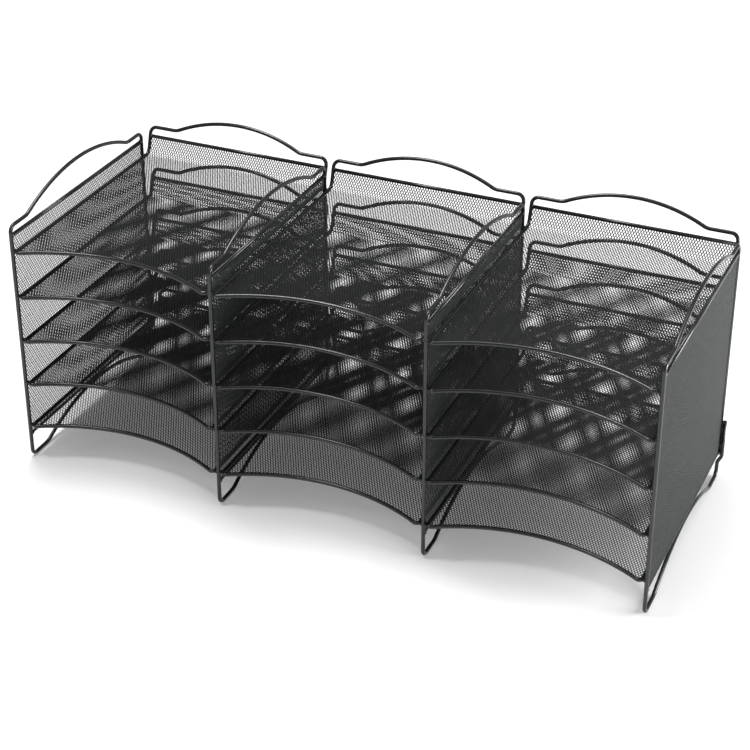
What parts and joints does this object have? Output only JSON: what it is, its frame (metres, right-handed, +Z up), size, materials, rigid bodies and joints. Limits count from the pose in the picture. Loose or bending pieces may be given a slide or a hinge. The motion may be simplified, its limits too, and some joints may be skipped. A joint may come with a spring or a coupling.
{
  "type": "desktop file sorter",
  "caption": "Free-standing desktop sorter: stacked letter trays of steel mesh in bent-wire loops, carried side by side by upright wire-framed mesh panels with humped tops.",
  "frame": {"origin": "on the desk, under the middle of the sorter's bounding box", "axes": "+X to the right along the width, -Y out of the open front, +Z up"},
  "size_m": [0.752, 0.3109, 0.3248],
  "materials": {
    "side_wire": "satin charcoal powder coat on round steel wire",
    "tray_wire": "satin charcoal powder coat on round steel wire",
    "tray_mesh": "satin charcoal powder coat on diamond steel mesh",
    "side_mesh": "satin charcoal powder coat on diamond steel mesh"
  },
  "bodies": {
    "root": {"side_left_end_frame": "side_wire", "side_left_end_top_rail": "side_wire", "side_left_end_mesh": "side_mesh", "side_left_inner_frame": "side_wire", "side_left_inner_top_rail": "side_wire", "side_left_inner_mesh": "side_mesh", "side_right_inner_frame": "side_wire", "side_right_inner_top_rail": "side_wire", "side_right_inner_mesh": "side_mesh", "side_right_end_frame": "side_wire", "side_right_end_top_rail": "side_wire", "side_right_end_mesh": "side_mesh", "tray_left_1_frame": "tray_wire", "tray_left_1_rim": "tray_wire", "tray_left_1_mesh": "tray_mesh", "tray_left_2_frame": "tray_wire", "tray_left_2_rim": "tray_wire", "tray_left_2_mesh": "tray_mesh", "tray_left_3_frame": "tray_wire", "tray_left_3_rim": "tray_wire", "tray_left_3_mesh": "tray_mesh", "tray_left_4_frame": "tray_wire", "tray_left_4_rim": "tray_wire", "tray_left_4_mesh": "tray_mesh", "tray_left_5_frame": "tray_wire", "tray_left_5_rim": "tray_wire", "tray_left_5_mesh": "tray_mesh", "tray_middle_1_frame": "tray_wire", "tray_middle_1_rim": "tray_wire", "tray_middle_1_mesh": "tray_mesh", "tray_middle_2_frame": "tray_wire", "tray_middle_2_rim": "tray_wire", "tray_middle_2_mesh": "tray_mesh", "tray_middle_3_frame": "tray_wire", "tray_middle_3_rim": "tray_wire", "tray_middle_3_mesh": "tray_mesh", "tray_middle_4_frame": "tray_wire", "tray_middle_4_rim": "tray_wire", "tray_middle_4_mesh": "tray_mesh", "tray_middle_5_frame": "tray_wire", "tray_middle_5_rim": "tray_wire", "tray_middle_5_mesh": "tray_mesh", "tray_right_1_frame": "tray_wire", "tray_right_1_rim": "tray_wire", "tray_right_1_mesh": "tray_mesh", "tray_right_2_frame": "tray_wire", "tray_right_2_rim": "tray_wire", "tray_right_2_mesh": "tray_mesh", "tray_right_3_frame": "tray_wire", "tray_right_3_rim": "tray_wire", "tray_right_3_mesh": "tray_mesh", "tray_right_4_frame": "tray_wire", "tray_right_4_rim": "tray_wire", "tray_right_4_mesh": "tray_mesh", "tray_right_5_frame": "tray_wire", "tray_right_5_rim": "tray_wire", "tray_right_5_mesh": "tray_mesh"}
  },
  "joints": []
}
